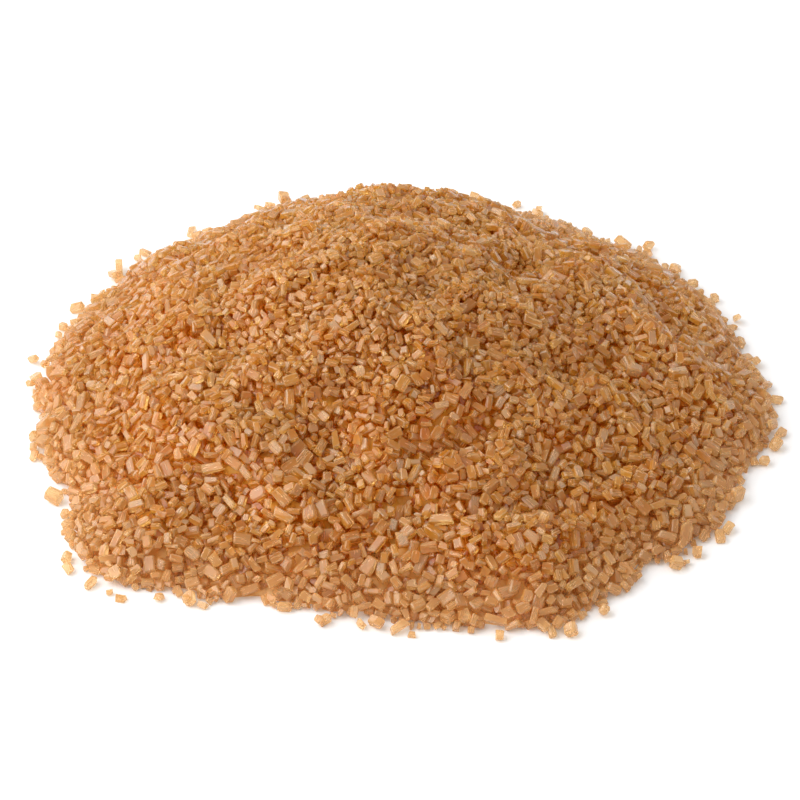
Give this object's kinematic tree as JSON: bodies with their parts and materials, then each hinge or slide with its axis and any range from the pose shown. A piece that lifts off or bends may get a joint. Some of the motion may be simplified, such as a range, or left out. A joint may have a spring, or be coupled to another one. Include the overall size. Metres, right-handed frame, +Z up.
{
  "type": "heap of demerara sugar",
  "caption": "Low poured heap of coarse amber demerara sugar crystals with a blunt crown, uneven flanks and a ragged, lobed foot, lying loose on a flat face.",
  "frame": {"origin": "middle of the flat face that lies on the table, at the centre of the heap's outline box", "axes": "+Z up, +X along the heap's widest way, to the right as seen from the front, and +Y away from the front"},
  "size_m": [0.0812, 0.0776, 0.0196],
  "materials": {
    "demerara_sugar": "translucent amber sugar crystals with glossy facets"
  },
  "bodies": {
    "root": {"sugar_heap": "demerara_sugar"}
  },
  "joints": []
}
